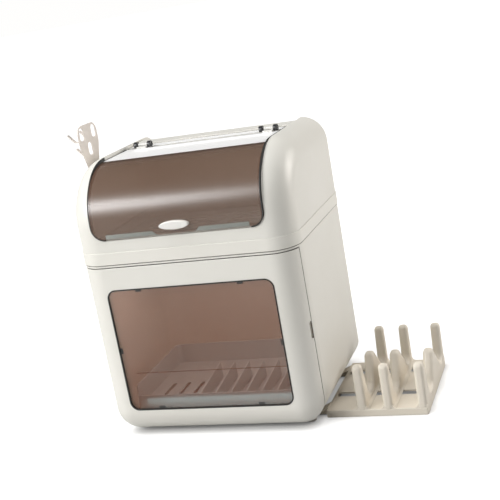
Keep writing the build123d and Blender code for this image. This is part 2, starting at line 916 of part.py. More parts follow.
# Door frame: a shallow shell; its hollow leaves the pane's frame, the backing of
# the finger notch, the magnet's block and the hinge tube standing
notch_low = notch_above_floor - notch_height / 2
notch_high = notch_above_floor + notch_height / 2
notch_x = side - notch_floor
with BuildPart() as door_hollow:
    add(cabinet_block(wall, door_top - wall))
    add(
        block_between(
            (-side, front, underside),
            (side, door_back + overrun, door_top),
        ),
        mode=Mode.INTERSECT,
    )
    add(window_block(frame_border, front, pane_front + pane_frame_depth), mode=Mode.SUBTRACT)
    add(
        block_between(
            (notch_x - notch_boss, door_back - notch_depth - wall, notch_low - wall),
            (side, door_back, notch_high + wall),
        ),
        mode=Mode.SUBTRACT,
    )
    add(
        block_between(
            (plate_x - magnet_width / 2 - wall, door_back - magnet_depth - wall, tab_low),
            (side, door_back, tab_high),
        ),
        mode=Mode.SUBTRACT,
    )
    add(door_bar(hinge_tube_above_floor, door_top, hinge_radius), mode=Mode.SUBTRACT)

with BuildPart() as door_frame:
    add(cabinet_block(0, cabinet_top))
    add(
        block_between(
            (-side - overrun, front - overrun, underside - overrun),
            (side + overrun, door_back, door_top),
        ),
        mode=Mode.INTERSECT,
    )
    fillet(door_frame.faces().sort_by(Axis.Z)[-1].edges().sort_by(Axis.Y)[:-1], edge_round)
    add(door_hollow.part, mode=Mode.SUBTRACT)
    add(window_block(seat_gap, pane_front, pane_front + pane_frame_depth + overrun), mode=Mode.SUBTRACT)
    add(window_block(-pane_overlap, front - overrun, pane_front + overrun), mode=Mode.SUBTRACT)
    with BuildSketch(Plane.YZ.offset(notch_x)):
        with Locations([(door_back, notch_above_floor)]):
            RectangleRounded(2 * notch_depth, notch_height, notch_radius)
    extrude(amount=notch_floor + overrun, mode=Mode.SUBTRACT)
    add(
        block_between(
            (
                plate_x - magnet_width / 2 - seat_gap,
                door_back - magnet_depth,
                catch_above_floor - magnet_height / 2 - seat_gap,
            ),
            (
                plate_x + magnet_width / 2 + seat_gap,
                door_back + overrun,
                catch_above_floor + magnet_height / 2 + seat_gap,
            ),
        ),
        mode=Mode.SUBTRACT,
    )
    # The edge behind the hinge is cut to the tube's circle, so that it can turn
    fan_points = [
        (hinge_x + corner_radius * cos(radians(turn)), hinge_y + corner_radius * sin(radians(turn)))
        for turn in (90, (90 + hinge_turn) / 2, hinge_turn)
    ]
    with BuildSketch(Plane.XY.offset(underside - overrun)):
        with BuildLine():
            Polyline((hinge_x, hinge_y), *fan_points, close=True)
        make_face()
        with Locations([(hinge_x, hinge_y)]):
            Circle(hinge_radius, mode=Mode.SUBTRACT)
    extrude(amount=cabinet_height + 2 * overrun, mode=Mode.SUBTRACT)
    for knuckle_bottom in knuckle_bottoms.values():
        knuckle_top = knuckle_bottom + knuckle_height
        pin_top = min(knuckle_top + door_pin_grip, door_top - pin_end_wall)
        add(door_bar(knuckle_bottom, knuckle_top, hinge_radius + 2 * part_gap), mode=Mode.SUBTRACT)
        add(
            door_bar(knuckle_bottom - door_pin_grip, pin_top, door_pin_radius + press_gap),
            mode=Mode.SUBTRACT,
        )
save(door_frame.part, "door_frame")

with BuildPart() as window_gasket:
    add(window_block(-pane_overlap - seat_gap, front - gasket_proud, pane_front))
    add(
        window_block(-pane_overlap - gasket_width, front - gasket_proud - overrun, pane_front + overrun),
        mode=Mode.SUBTRACT,
    )
save(window_gasket.part, "window_gasket")
save(window_block(0, pane_front, pane_front + pane_thickness), "door_window")

# Dark clips that reach in from the gasket over the edge of the pane
clip_x = window_width / 2 - gasket_width - clip_reach / 2
clip_z = window_height / 2 - gasket_width - clip_reach / 2
with BuildPart() as window_clips:
    with BuildSketch(Plane.XZ.offset(-pane_front)):
        with Locations([(0, window_z)]):
            with GridLocations(clip_spread, 2 * clip_z, 2, 2):
                Rectangle(clip_length, clip_reach)
            with GridLocations(2 * clip_x, 0, 2, 1):
                Rectangle(clip_reach, clip_length)
    extrude(amount=clip_thickness)
save(window_clips.part, "window_clips")

# Door hinge arms: a knuckle, a neck through the flange and a plate on the wall
for name, knuckle_bottom in knuckle_bottoms.items():
    knuckle_low = knuckle_bottom + part_gap
    knuckle_high = knuckle_bottom + knuckle_height - part_gap
    with BuildPart() as hinge_arm:
        add(door_bar(knuckle_low, knuckle_high, hinge_radius))
        add(
            block_between(
                (hinge_x - neck_half, hinge_y, knuckle_low),
                (hinge_x + neck_half, arm_plate_y + wall, knuckle_high),
            )
        )
        add(
            block_between(
                (-inner_side, arm_plate_y, knuckle_low),
                (hinge_x + neck_half, arm_plate_y + wall, knuckle_high),
            )
        )
        add(
            block_between(
                (-inner_side, arm_plate_y, knuckle_low),
                (arm_screw_x, arm_plate_y + arm_plate_length, knuckle_high),
            )
        )
        add(
            door_bar(knuckle_bottom, knuckle_bottom + knuckle_height, door_pin_radius + run_gap),
            mode=Mode.SUBTRACT,
        )
        add(screw_holes(arm_screw_places, (-1, 0, 0)), mode=Mode.SUBTRACT)
    save(hinge_arm.part, "door_hinge_arm_" + name)

    pin_low = knuckle_bottom - door_pin_grip + part_gap
    pin_high = min(knuckle_bottom + knuckle_height + door_pin_grip, door_top - pin_end_wall) - part_gap
    save(door_bar(pin_low, pin_high, door_pin_radius), "door_pin_" + name)
save(screws(arm_screw_places, (-1, 0, 0)), "hinge_arm_screws")

# Magnetic catch
save(
    block_between(
        (plate_x - magnet_width / 2, door_back - magnet_depth, catch_above_floor - magnet_height / 2),
        (plate_x + magnet_width / 2, door_back, catch_above_floor + magnet_height / 2),
    ),
    "door_magnet",
)
save(
    block_between(
        (plate_x - catch_plate_width / 2, seam_y, catch_above_floor - magnet_height / 2),
        (
            plate_x + catch_plate_width / 2,
            seam_y + catch_plate_thickness,
            catch_above_floor + magnet_height / 2,
        ),
    ),
    "catch_plate",
)

# Feet with plugs that press into the cabinet floor
with BuildPart() as feet:
    with BuildSketch():
        with Locations(foot_places):
            Circle(foot_radius)
    extrude(amount=underside + foot_plug_length)
    fillet(feet.edges().filter_by(GeomType.CIRCLE).group_by(Axis.Z)[0], foot_round)
    add(cabinet_block(0, cabinet_top), mode=Mode.SUBTRACT)
    with BuildSketch(Plane.XY.offset(underside)):
        with Locations(foot_places):
            Circle(foot_plug_radius)
    extrude(amount=foot_plug_length)
save(feet.part, "feet")

# Guides under the cabinet: two rails for each arm of the side rack
lip_inner = guide_face - arm_flange
for name, centre in arm_places.items():
    with BuildPart() as rack_guide:
        for turn in (-1, 1):
            leg_edges = sorted((centre + turn * guide_face, centre + turn * (guide_face + guide_leg)))
            lip_edges = sorted((centre + turn * lip_inner, centre + turn * guide_face))
            add(
                block_between(
                    (guide_start, leg_edges[0], guide_bottom),
                    (guide_end, leg_edges[1], underside),
                )
            )
            add(
                block_between(
                    (guide_start, lip_edges[0], guide_bottom),
                    (guide_end, lip_edges[1], guide_bottom + guide_lip_thickness),
                )
            )
        add(screw_holes(guide_screw_places, (0, 0, 1)), mode=Mode.SUBTRACT)
    save(rack_guide.part, "rack_guide_" + name)
save(screws(guide_screw_places, (0, 0, 1)), "guide_screws")

# Side rack: a base with long slots, two arms and three dividers with prongs
rack_left = side - rack_space
rack_right = rack_left + rack_length
rack_front = -rack_depth / 2
rack_back = rack_depth / 2
divider_outer_x = rack_right - divider_thickness / 2
divider_middle_x = divider_outer_x - divider_pitch_outer
divider_inner_x = divider_middle_x - divider_pitch_inner
divider_centres = {"inner": divider_inner_x, "middle": divider_middle_x, "outer": divider_outer_x}
divider_peg_y = rack_depth / 2 - divider_peg_end_space
peg_places = [
    (centre_x, turn * divider_peg_y)
    for centre_x in divider_centres.values()
    for turn in (-1, 1)
]
with BuildPart() as side_rack_base:
    add(block_between((rack_left, rack_front, 0), (rack_right, rack_back, rack_height)))
    fillet(side_rack_base.edges().filter_by(Axis.Z), rack_corner)
    fillet(side_rack_base.faces().sort_by(Axis.Z)[-1].edges(), edge_round)
    add(
        block_between(
            (rack_left + rack_wall, rack_front + rack_wall, -overrun),
            (rack_right - rack_wall, rack_back - rack_wall, rack_height - rack_wall),
        ),
        mode=Mode.SUBTRACT,
    )
    rack_middle = (rack_left + rack_right) / 2
    rack_slot_places = [(rack_middle, rack_front + share * rack_depth) for share in rack_slot_shares]
    with BuildSketch(Plane.XY.offset(rack_height - rack_wall - overrun)):
        with Locations(rack_slot_places):
            RectangleRounded(rack_length - 2 * rack_slot_margin, rack_slot_width, rack_slot_radius)
        with Locations(peg_places):
            Circle(divider_peg_radius + press_gap)
    extrude(amount=rack_wall + 2 * overrun, mode=Mode.SUBTRACT)
    for centre in arm_places.values():
        add(
            block_between(
                (rack_left - arm_length, centre - arm_width / 2, arm_lift),
                (rack_left + rack_wall, centre + arm_width / 2, arm_top),
            )
        )
        add(
            block_between(
                (rack_left - arm_length, centre - arm_width / 2 - arm_flange, flange_bottom),
                (rack_left + rack_wall, centre + arm_width / 2 + arm_flange, arm_top),
            )
        )
        # Shoulder where the arm rises to the base under the cabinet's round edge
        with BuildSketch(Plane.XZ.offset(-centre - arm_width / 2)):
            with BuildLine():
                Polyline(
                    (rack_left - arm_shoulder, arm_lift),
                    (rack_left - arm_shoulder, arm_top),
                    (rack_left, rack_height),
                    (rack_left + rack_wall, rack_height),
                    (rack_left + rack_wall, arm_lift),
                    close=True,
                )
            make_face()
        extrude(amount=arm_width)
save(side_rack_base.part, "side_rack_base")

front_top = rack_height + front_prong_height
middle_top = rack_height + middle_prong_height
back_top = rack_height + back_prong_height
valley_low = rack_height + valley_height
tip_width = 2 * prong_tip_radius
front_valley_y, back_valley_y = [rack_front + share * rack_depth for share in valley_shares]
divider_outline = [
    (rack_front, rack_height),
    (rack_front, front_top),
    (rack_front + tip_width, front_top),
    (front_valley_y - front_valley_width / 2, valley_low),
    (front_valley_y + front_valley_width / 2, valley_low),
    (-prong_tip_radius, middle_top),
    (prong_tip_radius, middle_top),
    (back_valley_y - back_valley_width / 2, valley_low),
    (back_valley_y + back_valley_width / 2, valley_low),
    (rack_back - tip_width, back_top),
    (rack_back, back_top),
    (rack_back, rack_height),
]
for name, centre_x in divider_centres.items():
    with BuildPart() as divider:
        with BuildSketch(Plane.YZ.offset(centre_x - divider_thickness / 2)) as outline:
            with BuildLine():
                Polyline(*divider_outline, close=True)
            make_face()
            tips = outline.vertices().filter_by(lambda corner: corner.Y > valley_low + valley_radius)
            fillet(tips, prong_tip_radius)
            fillet(outline.vertices().group_by(Axis.Y)[1], valley_radius)
        extrude(amount=divider_thickness)
        fillet(divider.faces().filter_by(Axis.X).edges().sort_by(Axis.Z)[2:], divider_round)
        # Its foot flares out on the base, but not past the base's end
        flare_top = rack_height + flare_edge + flare_radius
        flare_half = divider_thickness / 2 + flare_radius
        with BuildSketch(Plane.XZ.offset(edge_round - rack_back)):
            with Locations([(centre_x, (rack_height + flare_top) / 2)]):
                Rectangle(2 * flare_half, flare_edge + flare_radius)
            with Locations([(centre_x + turn * flare_half, flare_top) for turn in (-1, 1)]):
                Circle(flare_radius, mode=Mode.SUBTRACT)
        extrude(amount=rack_depth - 2 * edge_round)
        add(
            block_between(
                (rack_right, rack_front, rack_height), (rack_right + flare_half, rack_back, flare_top)
            ),
            mode=Mode.SUBTRACT,
        )
        with BuildSketch(Plane.XY.offset(rack_height - rack_wall)):
            with Locations([(centre_x, 0)]):
                with GridLocations(0, 2 * divider_peg_y, 1, 2):
                    Circle(divider_peg_radius)
        extrude(amount=rack_wall)
    save(divider.part, "rack_divider_" + name)

# Hook board: a stem, a wider head with three slots, and a hook under each slot
board_inner = -side - board_space
board_bottom = holder_bottom + holder_wall + part_gap
board_top = board_bottom + board_height
board_waist = board_top - board_waist_drop
board_shoulder = board_top - board_shoulder_drop
board_outline = [
    (board_y - stem_half_width, board_bottom),
    (board_y - stem_half_width, board_waist),
    (board_y - board_half_width, board_shoulder),
    (board_y - board_half_width, board_top),
    (board_y + board_half_width, board_top),
    (board_y + board_half_width, board_shoulder),
    (board_y + stem_half_width, board_waist),
    (board_y + stem_half_width, board_bottom),
]
slot_places = [
    (board_y - slot_spread / 2, board_top - upper_slot_drop),
    (board_y + slot_spread / 2, board_top - upper_slot_drop),
    (board_y, board_top - lower_slot_drop),
]
with BuildPart() as hook_board:
    with BuildSketch(Plane.YZ.offset(board_outer)) as outline:
        with BuildLine():
            Polyline(*board_outline, close=True)
        make_face()
        head_corners = outline.vertices().filter_by(lambda corner: corner.Y > board_bottom + board_corner)
        fillet(head_corners, board_corner)
        with Locations(slot_places):
            RectangleRounded(slot_width, slot_height, slot_radius, mode=Mode.SUBTRACT)
    extrude(amount=board_thickness)
    for slot_y, slot_z in slot_places:
        hook_z = slot_z - slot_height / 2 - hook_thickness / 2
        with BuildSketch(Plane.XZ.offset(-slot_y - hook_width / 2)):
            with BuildLine():
                shank = Line((board_inner, hook_z), (board_outer - hook_shank, hook_z))
                bend = JernArc(shank @ 1, shank % 1, hook_bend, -hook_turn)
                Line(bend @ 1, bend @ 1 + (bend % 1) * hook_tip)
            trace(line_width=hook_thickness)
        extrude(amount=hook_width)
save(hook_board.part, "hook_board")

# Holder on the hood's left side: a pocket for the board's stem, and two ears
pocket_inner = board_inner + part_gap
pocket_outer = board_outer - part_gap
holder_top = holder_bottom + holder_height
with BuildPart() as hook_holder:
    add(
        block_between(
            (pocket_outer - holder_wall, board_y - holder_half, holder_bottom),
            (-side, board_y + holder_half, holder_top),
        )
    )
    fillet(hook_holder.faces().sort_by(Axis.X)[0].edges(), edge_round)
    add(
        block_between(
            (-side - holder_wall, board_y - holder_half - holder_ear, holder_bottom),
            (-side, board_y + holder_half + holder_ear, holder_top),
        )
    )
    add(
        block_between(
            (pocket_outer, board_y - holder_half + holder_wall, holder_bottom + holder_wall),
            (pocket_inner, board_y + holder_half - holder_wall, holder_top + overrun),
        ),
        mode=Mode.SUBTRACT,
    )
    add(screw_holes(holder_screw_places, (1, 0, 0)), mode=Mode.SUBTRACT)
save(hook_holder.part, "hook_holder")
save(screws(holder_screw_places, (1, 0, 0)), "holder_screws")
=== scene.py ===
import math

import bpy
from mathutils import Matrix, Vector


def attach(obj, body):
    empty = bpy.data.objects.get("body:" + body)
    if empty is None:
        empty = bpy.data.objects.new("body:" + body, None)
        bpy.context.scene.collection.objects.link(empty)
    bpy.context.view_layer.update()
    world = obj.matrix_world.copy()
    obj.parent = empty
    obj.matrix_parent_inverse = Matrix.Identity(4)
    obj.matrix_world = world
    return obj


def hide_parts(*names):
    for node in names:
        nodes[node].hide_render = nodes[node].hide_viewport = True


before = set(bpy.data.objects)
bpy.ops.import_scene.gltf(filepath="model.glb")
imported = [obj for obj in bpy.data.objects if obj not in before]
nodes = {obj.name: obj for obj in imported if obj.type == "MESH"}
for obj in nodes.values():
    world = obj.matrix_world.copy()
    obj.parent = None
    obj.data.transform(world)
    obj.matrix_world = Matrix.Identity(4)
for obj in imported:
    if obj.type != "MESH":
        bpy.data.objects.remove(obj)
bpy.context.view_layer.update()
print("frame loaded:", len(nodes), "nodes")

bpy.ops.object.select_all(action="DESELECT")

# where a noise value starts and stops counting, and where its two tones stand
noiseUse = {"low": 0.3, "high": 0.7, "toneStops": (0.35, 0.65)}


def newMaterial(name):
    material = bpy.data.materials.new(name)
    material.use_nodes = True
    tree = material.node_tree
    return material, tree, tree.nodes["Principled BSDF"]


def objectCoordinates(tree, stretch=(1, 1, 1)):
    place = tree.nodes.new("ShaderNodeTexCoord")
    mapping = tree.nodes.new("ShaderNodeMapping")
    mapping.inputs["Scale"].default_value = stretch
    tree.links.new(place.outputs["Object"], mapping.inputs["Vector"])
    return mapping.outputs["Vector"]


def noiseOn(tree, vector, scale, detail):
    noise = tree.nodes.new("ShaderNodeTexNoise")
    noise.inputs["Scale"].default_value = scale
    noise.inputs["Detail"].default_value = detail
    tree.links.new(vector, noise.inputs["Vector"])
    return noise.outputs["Fac"]


def spread(tree, value, low, high):
    change = tree.nodes.new("ShaderNodeMapRange")
    change.inputs["From Min"].default_value = noiseUse["low"]
    change.inputs["From Max"].default_value = noiseUse["high"]
    change.inputs["To Min"].default_value = low
    change.inputs["To Max"].default_value = high
    tree.links.new(value, change.inputs["Value"])
    return change.outputs["Result"]


def twoTones(tree, value, look):
    ramp = tree.nodes.new("ShaderNodeValToRGB")
    tones = (look["tone"], look["toneTwo"])
    for stop, place, tone in zip(ramp.color_ramp.elements, noiseUse["toneStops"], tones):
        stop.position = place
        stop.color = (*tone, 1)
    tree.links.new(value, ramp.inputs["Fac"])
    return ramp.outputs["Color"]


def setSurface(tree, shader, look, color, gloss):
    tree.links.new(color, shader.inputs["Base Color"])
    tree.links.new(spread(tree, gloss, look["roughLow"], look["roughHigh"]), shader.inputs["Roughness"])


def setCoat(shader, look):
    shader.inputs["IOR"].default_value = look["ior"]
    shader.inputs["Coat Weight"].default_value = look["coat"]
    shader.inputs["Coat Roughness"].default_value = look["coatRough"]


# a fine grain, and on large walls a slow wave under it
grainMix = {"detail": 1.0, "strength": 0.5, "waveScale": 14.0, "waveStrength": 0.4}


def bumpOn(tree, vector, scale, strength, depth):
    bump = tree.nodes.new("ShaderNodeBump")
    bump.inputs["Strength"].default_value = strength
    bump.inputs["Distance"].default_value = depth
    tree.links.new(noiseOn(tree, vector, scale, grainMix["detail"]), bump.inputs["Height"])
    return bump


def grainBump(tree, shader, vector, scale, depth, waviness=0.0):
    grain = bumpOn(tree, vector, scale, grainMix["strength"], depth)
    if waviness:
        wave = bumpOn(tree, vector, grainMix["waveScale"], grainMix["waveStrength"], waviness)
        tree.links.new(wave.outputs["Normal"], grain.inputs["Normal"])
    tree.links.new(grain.outputs["Normal"], shader.inputs["Normal"])


shadeOcclusionSamples = 8


# painted shade: ambient occlusion over a short reach, used to darken colour where shade falls
def occlusionShadeOn(tree, reach):
    shadeOcclusion = tree.nodes.new("ShaderNodeAmbientOcclusion")
    shadeOcclusion.samples = shadeOcclusionSamples
    shadeOcclusion.inputs["Distance"].default_value = reach
    return shadeOcclusion.outputs["AO"]


# painted shade: the base colour is mixed toward a dark brown where occlusion is high, in creases, seams and
# slots
def paintCreviceShade(tree, color, look):
    shadeOcclusion = spread(tree, occlusionShadeOn(tree, look["creviceShadeReach"]), 0.0, 1.0)
    mix = tree.nodes.new("ShaderNodeMix")
    mix.data_type = "RGBA"
    mix.inputs["A"].default_value = (*look["creviceShadeTone"], 1)
    tree.links.new(shadeOcclusion, mix.inputs["Factor"])
    tree.links.new(color, mix.inputs["B"])
    return mix.outputs["Result"]


# what a finish has unless its own look says otherwise
plasticBase = {"mottleScale": 7.0, "glossScale": 45.0, "detail": 3.0, "ior": 1.5, "coat": 0.0,
               "coatRough": 0.25, "grainScale": 1400.0, "grainDepth": 0.00004, "waviness": 0.0,
               "creviceShadeReach": 0.0, "creviceShadeTone": (0.10, 0.065, 0.045)}


def mouldedPlastic(name, ownLook):
    look = {**plasticBase, **ownLook}
    material, tree, shader = newMaterial(name)
    vector = objectCoordinates(tree)
    color = twoTones(tree, noiseOn(tree, vector, look["mottleScale"], look["detail"]), look)
    # painted crevice shade, only for looks that give a reach
    if look["creviceShadeReach"]:
        color = paintCreviceShade(tree, color, look)
    setSurface(tree, shader, look, color, noiseOn(tree, vector, look["glossScale"], look["detail"]))
    setCoat(shader, look)
    grainBump(tree, shader, vector, look["grainScale"], look["grainDepth"], look["waviness"])
    return material


sheetBase = {"cloudScale": 5.0, "streakScale": 160.0, "streakStretch": (0.25, 1, 1), "detail": 2.0,
             "ior": 1.49, "coat": 0.0, "coatRough": 0.08}


def smokedSheet(name, ownLook):
    look = {**sheetBase, **ownLook}
    material, tree, shader = newMaterial(name)
    cloud = noiseOn(tree, objectCoordinates(tree), look["cloudScale"], look["detail"])
    stretched = objectCoordinates(tree, look["streakStretch"])
    streak = noiseOn(tree, stretched, look["streakScale"], look["detail"])
    setSurface(tree, shader, look, twoTones(tree, cloud, look), streak)
    tree.links.new(spread(tree, cloud, look["alphaLow"], look["alphaHigh"]), shader.inputs["Alpha"])
    setCoat(shader, look)
    return material


steelBase = {"brushScale": 900.0, "brushStretch": (1, 1, 6), "detail": 2.0, "grainDepth": 0.00002,
             "metal": 1.0}


def brushedSteel(name, ownLook):
    look = {**steelBase, **ownLook}
    material, tree, shader = newMaterial(name)
    vector = objectCoordinates(tree, look["brushStretch"])
    brush = noiseOn(tree, vector, look["brushScale"], look["detail"])
    setSurface(tree, shader, look, twoTones(tree, brush, look), brush)
    shader.inputs["Metallic"].default_value = look["metal"]
    grainBump(tree, shader, vector, look["brushScale"], look["grainDepth"])
    return material


# bodyCream, bandCream and rackBeige carry painted shade in their creases
plasticLooks = {
    "bodyCream": {"tone": (0.78, 0.765, 0.71), "toneTwo": (0.80, 0.785, 0.735), "roughLow": 0.34,
                  "roughHigh": 0.42, "grainDepth": 0.00003, "waviness": 0.00008, "creviceShadeReach": 0.003},
    "bandCream": {"tone": (0.80, 0.785, 0.725), "toneTwo": (0.82, 0.80, 0.745), "roughLow": 0.34,
                  "roughHigh": 0.42, "grainDepth": 0.00003, "creviceShadeReach": 0.003},
    "lidWhite": {"tone": (0.93, 0.93, 0.93), "toneTwo": (0.95, 0.95, 0.95), "roughLow": 0.34,
                 "roughHigh": 0.37, "grainDepth": 0.000003},
    "handleWhite": {"tone": (0.86, 0.85, 0.82), "toneTwo": (0.88, 0.87, 0.85), "roughLow": 0.2,
                    "roughHigh": 0.28, "grainDepth": 0.00001},
    "hingeWhite": {"tone": (0.84, 0.83, 0.8), "toneTwo": (0.87, 0.86, 0.83), "roughLow": 0.25,
                   "roughHigh": 0.35},
    "knobDark": {"tone": (0.02, 0.02, 0.022), "toneTwo": (0.032, 0.032, 0.034), "roughLow": 0.28,
                 "roughHigh": 0.4, "coat": 0.3},
    "clipDark": {"tone": (0.045, 0.045, 0.045), "toneTwo": (0.06, 0.06, 0.058), "roughLow": 0.4,
                 "roughHigh": 0.5},
    "sealDark": {"tone": (0.014, 0.015, 0.014), "toneTwo": (0.022, 0.023, 0.021), "roughLow": 0.6,
                 "roughHigh": 0.72, "grainDepth": 0.00005},
    # painted shade: the dark brown of the door seam strip stands in for the shade inside the gap
    "seamShadeBrown": {"tone": (0.07, 0.05, 0.04), "toneTwo": (0.09, 0.065, 0.05), "roughLow": 0.6,
                  "roughHigh": 0.7, "grainDepth": 0.00003},
    "footRubber": {"tone": (0.58, 0.54, 0.50), "toneTwo": (0.62, 0.58, 0.54), "roughLow": 0.6,
                   "roughHigh": 0.75, "grainDepth": 0.00008},
    "drainTray": {"tone": (0.66, 0.68, 0.65), "toneTwo": (0.70, 0.71, 0.68), "roughLow": 0.3,
                  "roughHigh": 0.4},
    "dripTray": {"tone": (0.80, 0.95, 0.94), "toneTwo": (0.83, 0.96, 0.95), "roughLow": 0.3,
                 "roughHigh": 0.4},
    "basketClear": {"tone": (0.47, 0.57, 0.59), "toneTwo": (0.51, 0.61, 0.63), "roughLow": 0.18,
                    "roughHigh": 0.26},
    "rackBeige": {"tone": (0.75, 0.69, 0.59), "toneTwo": (0.78, 0.72, 0.625), "roughLow": 0.4,
                  "roughHigh": 0.5, "creviceShadeReach": 0.004, "creviceShadeTone": (0.20, 0.15, 0.10)},
    "boardBeige": {"tone": (0.74, 0.68, 0.63), "toneTwo": (0.77, 0.71, 0.66), "roughLow": 0.42,
                   "roughHigh": 0.52},
}
sheetLooks = {
    "lidSmoke": {"tone": (0.20, 0.115, 0.078), "toneTwo": (0.22, 0.13, 0.09), "alphaLow": 0.46,
                 "alphaHigh": 0.5, "roughLow": 0.28, "roughHigh": 0.32, "coat": 0.8, "coatRough": 0.28},
    "windowSmoke": {"tone": (0.215, 0.085, 0.05), "toneTwo": (0.235, 0.095, 0.056), "alphaLow": 0.34,
                    "alphaHigh": 0.37, "roughLow": 0.12, "roughHigh": 0.18, "coat": 0.2},
    "lidEdgeClear": {"tone": (0.36, 0.385, 0.355), "toneTwo": (0.40, 0.42, 0.39), "alphaLow": 0.62,
                     "alphaHigh": 0.68, "roughLow": 0.2, "roughHigh": 0.3, "coat": 0.3, "coatRough": 0.15},
}
steelLooks = {
    "steel": {"tone": (0.62, 0.61, 0.59), "toneTwo": (0.7, 0.69, 0.67), "roughLow": 0.25,
              "roughHigh": 0.4},
    "magnet": {"tone": (0.30, 0.30, 0.31), "toneTwo": (0.36, 0.36, 0.37), "roughLow": 0.3,
               "roughHigh": 0.45},
}

looksOfMaker = ((mouldedPlastic, plasticLooks), (smokedSheet, sheetLooks), (brushedSteel, steelLooks))
finishes = {}
for makeFinish, looks in looksOfMaker:
    for name, look in looks.items():
        finishes[name] = makeFinish(name, look)

nodesOfFinish = {
    "bodyCream": ("cabinet_shell", "front_rail", "hood_shell", "door_frame", "door_hinge_arm_upper",
                  "door_hinge_arm_lower", "rack_guide_front", "rack_guide_back", "hook_holder"),
    "bandCream": ("deck_frame",),
    "lidWhite": ("lid_top_plate",),
    "handleWhite": ("lid_handle",),
    "hingeWhite": ("lid_hinge_bracket_left", "lid_hinge_bracket_right", "lid_hinge_strap_left",
                   "lid_hinge_strap_right"),
    "knobDark": ("lid_pin_caps",),
    "clipDark": ("window_clips",),
    "sealDark": ("lid_side_seals", "window_gasket"),
    "footRubber": ("feet",),
    "drainTray": ("drain_tray",),
    "dripTray": ("drip_tray",),
    "basketClear": ("plate_basket",),
    "rackBeige": ("side_rack_base", "rack_divider_inner", "rack_divider_middle", "rack_divider_outer"),
    "boardBeige": ("hook_board",),
    "lidSmoke": ("lid_panel",),
    "windowSmoke": ("door_window",),
    "steel": ("lid_pin_left", "lid_pin_right", "lid_bracket_screws", "hinge_arm_screws", "catch_plate",
              "guide_screws", "holder_screws", "door_pin_upper", "door_pin_lower"),
    "magnet": ("door_magnet",),
}


def dressNode(piece, finish):
    if not piece.material_slots:
        piece.data.materials.append(finish)
    for slot in piece.material_slots:
        slot.material = finish


for finishName, nodeNames in nodesOfFinish.items():
    for nodeName in nodeNames:
        dressNode(nodes[nodeName], finishes[finishName])
print("finishes set on", sum(len(nodeNames) for nodeNames in nodesOfFinish.values()), "nodes")

# how squarely a picked face looks along an axis, and how close doubles and picked corners lie, in metres
making = {"smoothAngle": 40, "facing": 0.9, "doubles": 0.00001, "near": 0.001, "blockSegments": 3}


def startPiece():
    bpy.ops.object.select_all(action="DESELECT")


def applyPlace():
    bpy.ops.object.transform_apply(location=True, rotation=True, scale=True)


def finishPiece(piece, name, finish, body):
    # the place goes into the mesh, as it is for a CAD node
    applyPlace()
    piece.name = name
    piece.data.materials.clear()
    piece.data.materials.append(finishes[finish])
    bpy.ops.object.shade_smooth_by_angle(angle=math.radians(making["smoothAngle"]))
    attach(piece, body)


def joinPieces(pieces):
    startPiece()
    for piece in pieces:
        piece.select_set(True)
    bpy.context.view_layer.objects.active = pieces[0]
    bpy.ops.object.join()
    return pieces[0]


def selectParts(piece, kind, wanted):
    # picks the faces or corners that pass the test, and stays in edit mode
    bpy.ops.object.mode_set(mode="EDIT")
    bpy.ops.mesh.select_mode(type=kind)
    bpy.ops.mesh.select_all(action="DESELECT")
    bpy.ops.object.mode_set(mode="OBJECT")
    for part in piece.data.polygons if kind == "FACE" else piece.data.vertices:
        part.select = wanted(part)
    bpy.ops.object.mode_set(mode="EDIT")


def selectFaces():
    bpy.ops.object.mode_set(mode="EDIT")
    bpy.ops.mesh.select_mode(type="FACE")
    bpy.ops.mesh.select_all(action="SELECT")


def extrudeBy(x, y, z):
    bpy.ops.mesh.extrude_region_move(TRANSFORM_OT_translate={"value": (x, y, z)})


def closeMesh():
    # doubles merged first, then every face turned outwards
    bpy.ops.mesh.select_all(action="SELECT")
    bpy.ops.mesh.remove_doubles(threshold=making["doubles"])
    bpy.ops.mesh.normals_make_consistent(inside=False)
    bpy.ops.object.mode_set(mode="OBJECT")


def roundEdges(piece, width, segments):
    rounding = piece.modifiers.new("rounding", "BEVEL")
    rounding.width = width
    rounding.segments = segments
    rounding.limit_method = "ANGLE"
    bpy.ops.object.modifier_apply(modifier="rounding")


def addPlane(middle, width, height, turn=(0, 0, 0)):
    startPiece()
    bpy.ops.mesh.primitive_plane_add(size=1, location=middle, rotation=turn)
    plane = bpy.context.object
    plane.scale = (width, height, 1)
    applyPlace()
    return plane


def roundedBlock(low, high, edge):
    startPiece()
    middle = [(a + b) / 2 for a, b in zip(low, high)]
    bpy.ops.mesh.primitive_cube_add(size=1, location=middle)
    block = bpy.context.object
    block.scale = [b - a for a, b in zip(low, high)]
    applyPlace()
    roundEdges(block, edge, making["blockSegments"])
    return block


knobShape = {"radius": 0.0054, "length": 0.0076, "sides": 48, "edge": 0.0009, "edgeSegments": 3,
             "rimWidth": 0.0013, "dish": 0.0012, "hinge": 0.1172, "inner": 0.0090, "axisY": 0.0305,
             "axisZ": 0.4727}


def hingeKnob(shape):
    # one dark cap: a round drum with a rim, a dished end and a low button in the dish
    startPiece()
    bpy.ops.mesh.primitive_cylinder_add(vertices=shape["sides"], radius=shape["radius"],
                                        depth=shape["length"], location=(0, 0, 0),
                                        rotation=(0, math.radians(90), 0))
    knob = bpy.context.object
    applyPlace()
    selectParts(knob, "FACE", lambda face: abs(face.normal.x) > making["facing"])
    bpy.ops.mesh.bevel(offset=shape["edge"], segments=shape["edgeSegments"])
    selectParts(knob, "FACE", lambda face: len(face.vertices) == shape["sides"])
    lean = shape["rimWidth"] / 3  # how far the walls of the dish and of the button lean in
    bpy.ops.mesh.inset(thickness=shape["rimWidth"], depth=0)
    bpy.ops.mesh.inset(thickness=lean, depth=-shape["dish"], use_individual=True)
    bpy.ops.mesh.inset(thickness=lean, depth=shape["dish"] / 2, use_individual=True)
    bpy.ops.object.mode_set(mode="OBJECT")
    return knob


